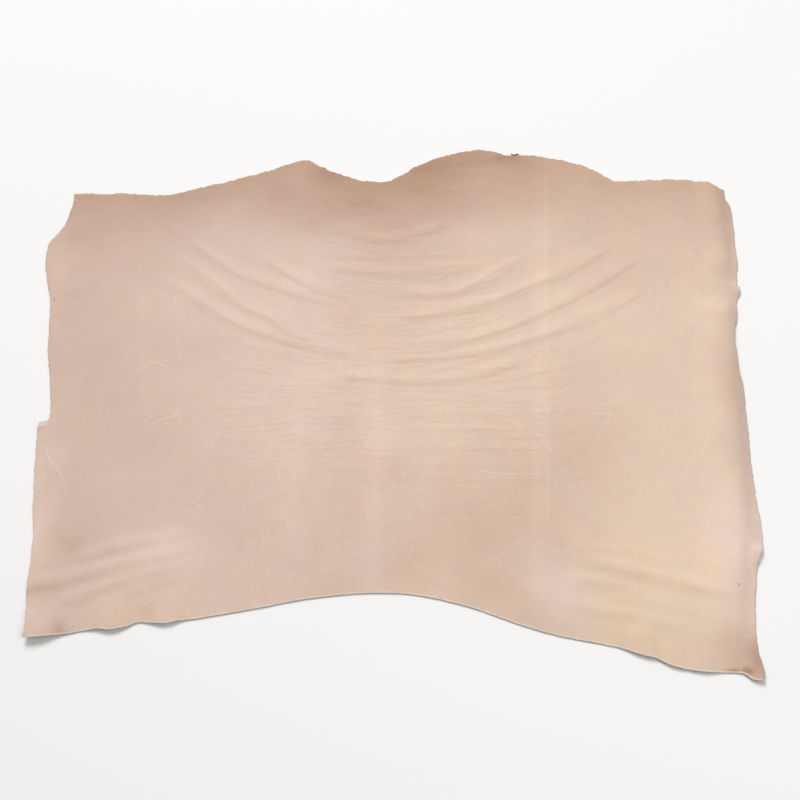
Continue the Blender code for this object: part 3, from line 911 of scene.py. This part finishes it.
def grain_finish():
    """The grain side: matt and undyed, with pores, fine creases, healed scratches and press marks."""
    finish = Finish("grain")
    tan, warm, light = (finish.attribute(name) for name in ("tan", "warm", "light"))
    groove, wrinkled, lip, arc = (finish.attribute(name) for name in ("groove", "wrinkled", "lip", "arc"))
    mottle = finish.noise(12 * MM, 3.0)
    cloud = finish.noise(45 * MM, 2.0)
    blotch = finish.noise(22 * MM, 2.0)
    streaks = finish.noise(4 * MM, 2.0, (0.25, 1.0, 1.0))
    pores = finish.noise(1.1 * MM, 2.0)
    pebbles = finish.number("TexVoronoi", sockets={"Vector": finish.place, "Scale": 1 / (3.2 * MM)})

    drift = arc_noise(finish, arc, 110 * MM, 40 * MM, 2.0)
    phase = arc / CREASE_SPACING + drift * CREASE_DRIFT
    shown = arc_noise(finish, arc, 60 * MM, 11 * MM, 1.0).ramp(0.4, 0.64) * (wrinkled * 0.95 + 0.05)
    crease = ((phase.fract() - 0.5).size() * 2).ramp(0.35, 1.0) * shown
    ridge = (1 - ((phase + 0.3).fract() - 0.5).size() * 2) * shown

    sway = finish.node("TexNoise", sockets={"Vector": finish.place, "Scale": 1 / (12 * MM), "Detail": 3.0})
    sway = vector_maths(finish, "SUBTRACT", sway.outputs["Color"], (0.5, 0.5, 0.5))
    wobbled = vector_maths(finish, "ADD", finish.place, vector_maths(finish, "SCALE", sway, SCRATCH_WOBBLE))
    scratch = strongest([
        scattered_scratches(finish, wobbled, kind, number) * kind.paleness
        for number, kind in enumerate(SCRATCHES)
    ])
    patchy = finish.noise(90 * MM, 1.0).ramp(0.36, 0.6) * 0.75 + 0.25
    scratched = finish.x.ramp(*SCRATCHED_LEFT) * (1 - finish.x.ramp(*SCRATCHED_RIGHT))
    scratched = scratched * (1 - finish.y.ramp(*SCRATCHED_TOP))
    scars = runs_mask(finish, SCARS, SCAR_HALF_WIDTH) * 0.45
    scratch = (scratch * (patchy * (scratched * 0.8 + 0.2))).larger(scars)

    beside = finish.x - finish.y * PRESS_LINE_SLOPE - PRESS_LINE_X
    worn = finish.noise(30 * MM, 2.0, (1.0, 0.25, 1.0)).ramp(0.3, 0.7)
    press = sum(
        (1 - (beside - offset * MM).size().ramp(0, half_width * MM)) * strength
        for offset, half_width, strength in PRESS_LINES
    )
    press = press * (worn * 0.7 + 0.3) * finish.y.ramp(*PRESS_END)
    sockets = {"Vector": finish.place, "Scale": 1 / SPECK_CELL}
    specks = finish.node("TexVoronoi", {"voronoi_dimensions": "2D"}, sockets)
    speck = 1 - Number(finish, specks.outputs["Distance"]).ramp(0.03, 0.06)
    speck = speck * Number(finish, specks.outputs["Color"]).is_less(SPECK_SHARE)
    hairs = finish.noise(2.8 * MM, 2.0, (1.0, 0.14, 1.0)).ramp(0.56, 0.74) * scratched

    colour = finish.blend(warm, PINKISH, STRAW)
    colour = finish.blend(tan + (cloud - 0.5) * 0.08, colour, TANNED)
    # Painted shade: the grooves and the fine creases are darkened towards a warm brown
    colour = finish.blend(groove * 0.1 + crease * 0.12, colour, GROOVE_SHADE)
    colour = finish.blend(strongest([scratch, press, speck * 0.35]), colour, PALE_SCAR)
    colour = finish.blend(runs_mask(finish, TURNED_STRETCH, TURNED_HALF_WIDTH) * 0.9, colour, TURNED_LIP)
    colour = finish.blend(runs_mask(finish, SLITS, SLIT_HALF_WIDTH) * 0.85, colour, SLIT)
    colour = finish.blend(lip * 0.9, colour, KNIFE_CUT)
    # light carries painted light and shade from the mesh, and ridge adds a painted highlight on the fine
    # creases' crests
    brightness = 1 + light + (mottle - 0.5) * 0.08 + (streaks - 0.5) * 0.06 + (pores - 0.5) * 0.05
    brightness = brightness + (blotch - 0.5) * 0.06 + ridge * 0.018 + hairs * 0.03
    roughness = 0.62 + (mottle - 0.5) * 0.12 - scratch * 0.12 + groove * 0.08
    height = pores * 0.3 + pebbles * 0.25 + streaks * 0.25 + ridge * 0.4 - crease * 0.3
    fixed = {"Specular IOR Level": 0.35, "Sheen Weight": 0.06, "Sheen Roughness": 0.5}
    return finish.surface(finish.shade(colour, brightness), roughness, height, 0.5 * MM, **fixed)


def flesh_finish():
    """The flesh side: shaved suede, a little greyer than the grain, with a loose nap of fibres."""
    finish = Finish("flesh")
    nap = finish.noise(1.6 * MM, 4.0, (0.35, 1.0, 1.0))
    cloud = finish.noise(50 * MM, 3.0)
    shave_marks = finish.noise(20 * MM, 2.0, (0.08, 1.0, 1.0))
    share = nap * 0.55 + cloud * 0.35 + shave_marks * 0.2 - 0.3
    colour = finish.blend(share, FLESH, FLESH_DARK)
    roughness = 0.9 + (nap - 0.5) * 0.1
    fixed = {"Specular IOR Level": 0.2, "Sheen Weight": 0.35, "Sheen Roughness": 0.6}
    return finish.surface(colour, roughness, nap + shave_marks * 0.4, 1.2 * MM, **fixed)


def edge_finish(name, pale, dark, dark_share):
    """A cut or torn edge: packed fibres that show pale at the grain and darker towards the flesh. On the
    knife cut that darkening is also painted shade, for the contact shadow under the edge.
    """
    finish = Finish(name)
    fibres = finish.noise(1.2 * MM, 3.0, (1.0, 1.0, 0.3))
    patches = finish.noise(20 * MM, 2.0)
    share = finish.attribute("drop").ramp(0.1, 0.6) + (fibres - 0.5) * 0.8 + (patches - 0.5) * 0.5
    colour = finish.blend(share + dark_share, pale, dark)
    roughness = 0.85 + (fibres - 0.5) * 0.1
    return finish.surface(colour, roughness, fibres, 0.8 * MM, **{"Specular IOR Level": 0.2})


sheet_mesh = hide_mesh()
for material in (
    grain_finish(),
    flesh_finish(),
    edge_finish("knife_cut", KNIFE_CUT, KNIFE_FLESH_AND_SHADE, 0.0),
    edge_finish("torn_edge", TORN, TORN_DARK, 0.1),
):
    sheet_mesh.materials.append(material)
hide_sheet = added("hide_sheet", sheet_mesh)
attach(hide_sheet, "root")
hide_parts("hide")

# The crumbs on the neck edge
# Three short rows of dried, brown scab on the torn neck edge, right of the spine. They are lumps 1 to 4 mm
# across, grown together and stuck fast to the grain and the edge.
ScabRow = namedtuple("ScabRow", "start end count radius")
SCAB_ROWS = [
    ScabRow((250, 558), (256, 555), 7, 1.5),
    ScabRow((255, 555), (265, 557.5), 9, 1.6),
    ScabRow((290, 553), (293, 552.5), 3, 1.3),
]
SCAB_LEVEL = 2.4 * MM
SCAB = rgb("7a563b")
SCAB_DRY = rgb("a98160")
# How far each lump is drawn out along its axes, at least and at most
LEAST_DRAWN = (0.5, 0.6, 0.4)
MOST_DRAWN = (1.3, 1.2, 0.8)
# How many lumps of roughness there are to a metre, and how far they push the surface out
ROUGH_SCALE = 900.0
ROUGH_PUSH = 1.6 * MM


def scab_tree(material):
    """Lumps of uneven size along a line, each turned its own way and drawn out of round."""
    tree = bpy.data.node_groups.new("scab_row", "GeometryNodeTree")
    for name, kind in (("Start", "Vector"), ("End", "Vector"), ("Count", "Int"), ("Radius", "Float")):
        tree.interface.new_socket(name, in_out="INPUT", socket_type="NodeSocket" + kind)
    tree.interface.new_socket("Crumbs", in_out="OUTPUT", socket_type="NodeSocketGeometry")
    node = functools.partial(add_node, tree)
    sizes = node("NodeGroupInput").outputs
    line = node("GeometryNodeCurvePrimitiveLine", sockets={"Start": sizes["Start"], "End": sizes["End"]})
    places = node("GeometryNodeCurveToPoints", sockets={"Curve": line.outputs[0], "Count": sizes["Count"]})
    lump = node("GeometryNodeMeshIcoSphere", sockets={"Radius": sizes["Radius"], "Subdivisions": 3})
    vectors = {"data_type": "FLOAT_VECTOR"}
    turns = node("FunctionNodeRandomValue", vectors, {1: (FULL_TURN, FULL_TURN, FULL_TURN), "Seed": 3})
    spread = node("FunctionNodeRandomValue", vectors, {0: LEAST_DRAWN, 1: MOST_DRAWN, "Seed": 5})
    lumps = node("GeometryNodeInstanceOnPoints", sockets={
        "Points": places.outputs["Points"], "Instance": lump.outputs["Mesh"],
        "Rotation": turns.outputs[0], "Scale": spread.outputs[0],
    })
    solid = node("GeometryNodeRealizeInstances", sockets={0: lumps.outputs[0]})
    rough = node("ShaderNodeTexNoise", sockets={"Scale": ROUGH_SCALE, "Detail": 2.0}).outputs["Color"]
    centred = node("ShaderNodeVectorMath", {"operation": "SUBTRACT"}, {0: rough, 1: (0.5, 0.5, 0.5)})
    push = node("ShaderNodeVectorMath", {"operation": "SCALE"}, {0: centred.outputs[0], "Scale": ROUGH_PUSH})
    sockets = {"Geometry": solid.outputs[0], "Offset": push.outputs[0]}
    uneven = node("GeometryNodeSetPosition", sockets=sockets)
    dressed = node("GeometryNodeSetMaterial", sockets={"Geometry": uneven.outputs[0], "Material": material})
    tree.links.new(dressed.outputs[0], node("NodeGroupOutput").inputs["Crumbs"])
    return tree


def scab_finish():
    """Dried scab: brown, uneven and nearly matt."""
    finish = Finish("dried_scab")
    lumps = finish.noise(1.2 * MM, 3.0)
    colour = finish.blend((lumps - 0.35) * 1.6, SCAB, SCAB_DRY)
    roughness = 0.7 + (lumps - 0.5) * 0.2
    return finish.surface(colour, roughness, lumps, 0.4 * MM, **{"Specular IOR Level": 0.3})


def scab_row(row, tree):
    """The mesh of one row of crumbs."""
    piece = added("scab_row", bpy.data.meshes.new("scab_row"))
    modifier = piece.modifiers.new("row", "NODES")
    modifier.node_group = tree
    values = {
        "Start": (row.start[0] * MM, row.start[1] * MM, SCAB_LEVEL),
        "End": (row.end[0] * MM, row.end[1] * MM, SCAB_LEVEL),
        "Count": row.count,
        "Radius": row.radius * MM,
    }
    sockets = {socket.name: socket.identifier for socket in tree.interface.items_tree}
    for name, value in values.items():
        modifier[sockets[name]] = value
    bpy.context.view_layer.update()
    mesh = bpy.data.meshes.new_from_object(piece.evaluated_get(bpy.context.evaluated_depsgraph_get()))
    bpy.data.objects.remove(piece)
    return mesh


tree = scab_tree(scab_finish())
joined = bmesh.new()
for row in SCAB_ROWS:
    joined.from_mesh(scab_row(row, tree))
scab_mesh = bpy.data.meshes.new("neck_scabs")
joined.to_mesh(scab_mesh)
joined.free()
scab_mesh.materials.append(bpy.data.materials["dried_scab"])
scab_mesh.shade_smooth()
neck_scabs = added("neck_scabs", scab_mesh)
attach(neck_scabs, "root")

# The studio: a plain pale floor and soft light from over the neck and the left
FLOOR_SIZE = 9.0
FLOOR_WHITE = (1.0, 0.995, 0.99)
SKY_WHITE = (1.0, 0.99, 0.98, 1.0)
SKY_STRENGTH = 0.32
bpy.ops.mesh.primitive_plane_add(size=FLOOR_SIZE, location=(0, 0, 0))
floor = bpy.context.object
floor.name = "floor"
pale = Finish("pale_floor")
paper = pale.noise(500 * MM, 1.0) * 0.004 + 0.9
pale.surface(pale.shade(FLOOR_WHITE, paper), 0.9, pale.noise(2 * MM, 1.0), 0.1 * MM)
floor.data.materials.append(pale.material)


def soft_light(name, place, size, watts):
    """A square softbox at a place, turned towards the middle of the hide."""
    lamp = bpy.data.lights.new(name, "AREA")
    lamp.size = size
    lamp.energy = watts
    light = added(name, lamp)
    light.location = place
    light.rotation_euler = (-Vector(place)).to_track_quat("-Z", "Y").to_euler()


soft_light("key", place=(-2.6, 7.4, 8.0), size=5.0, watts=980)
soft_light("fill", place=(1.5, -0.8, 3.2), size=2.6, watts=32)
world = bpy.data.worlds.new("studio")
world.use_nodes = True
sky = world.node_tree.nodes["Background"].inputs
sky["Color"].default_value = SKY_WHITE
sky["Strength"].default_value = SKY_STRENGTH
bpy.context.scene.world = world

# The camera: in front of the knife cut and high above it, as the photograph was taken
CAMERA_ELEVATION = 65
CAMERA_DISTANCE = 3.081
CAMERA_AIM = Vector((0.0174, -0.0093, 0.0))
LENS = 71.3
SENSOR_WIDTH = 36
tilt = math.radians(CAMERA_ELEVATION)
camera = added("camera", bpy.data.cameras.new("camera"))
camera.data.lens = LENS
camera.data.sensor_width = SENSOR_WIDTH
camera.location = CAMERA_AIM + Vector((0, -math.cos(tilt), math.sin(tilt))) * CAMERA_DISTANCE
camera.rotation_euler = (math.pi / 2 - tilt, 0, 0)
bpy.context.scene.camera = camera
bpy.context.scene.view_settings.view_transform = "Standard"
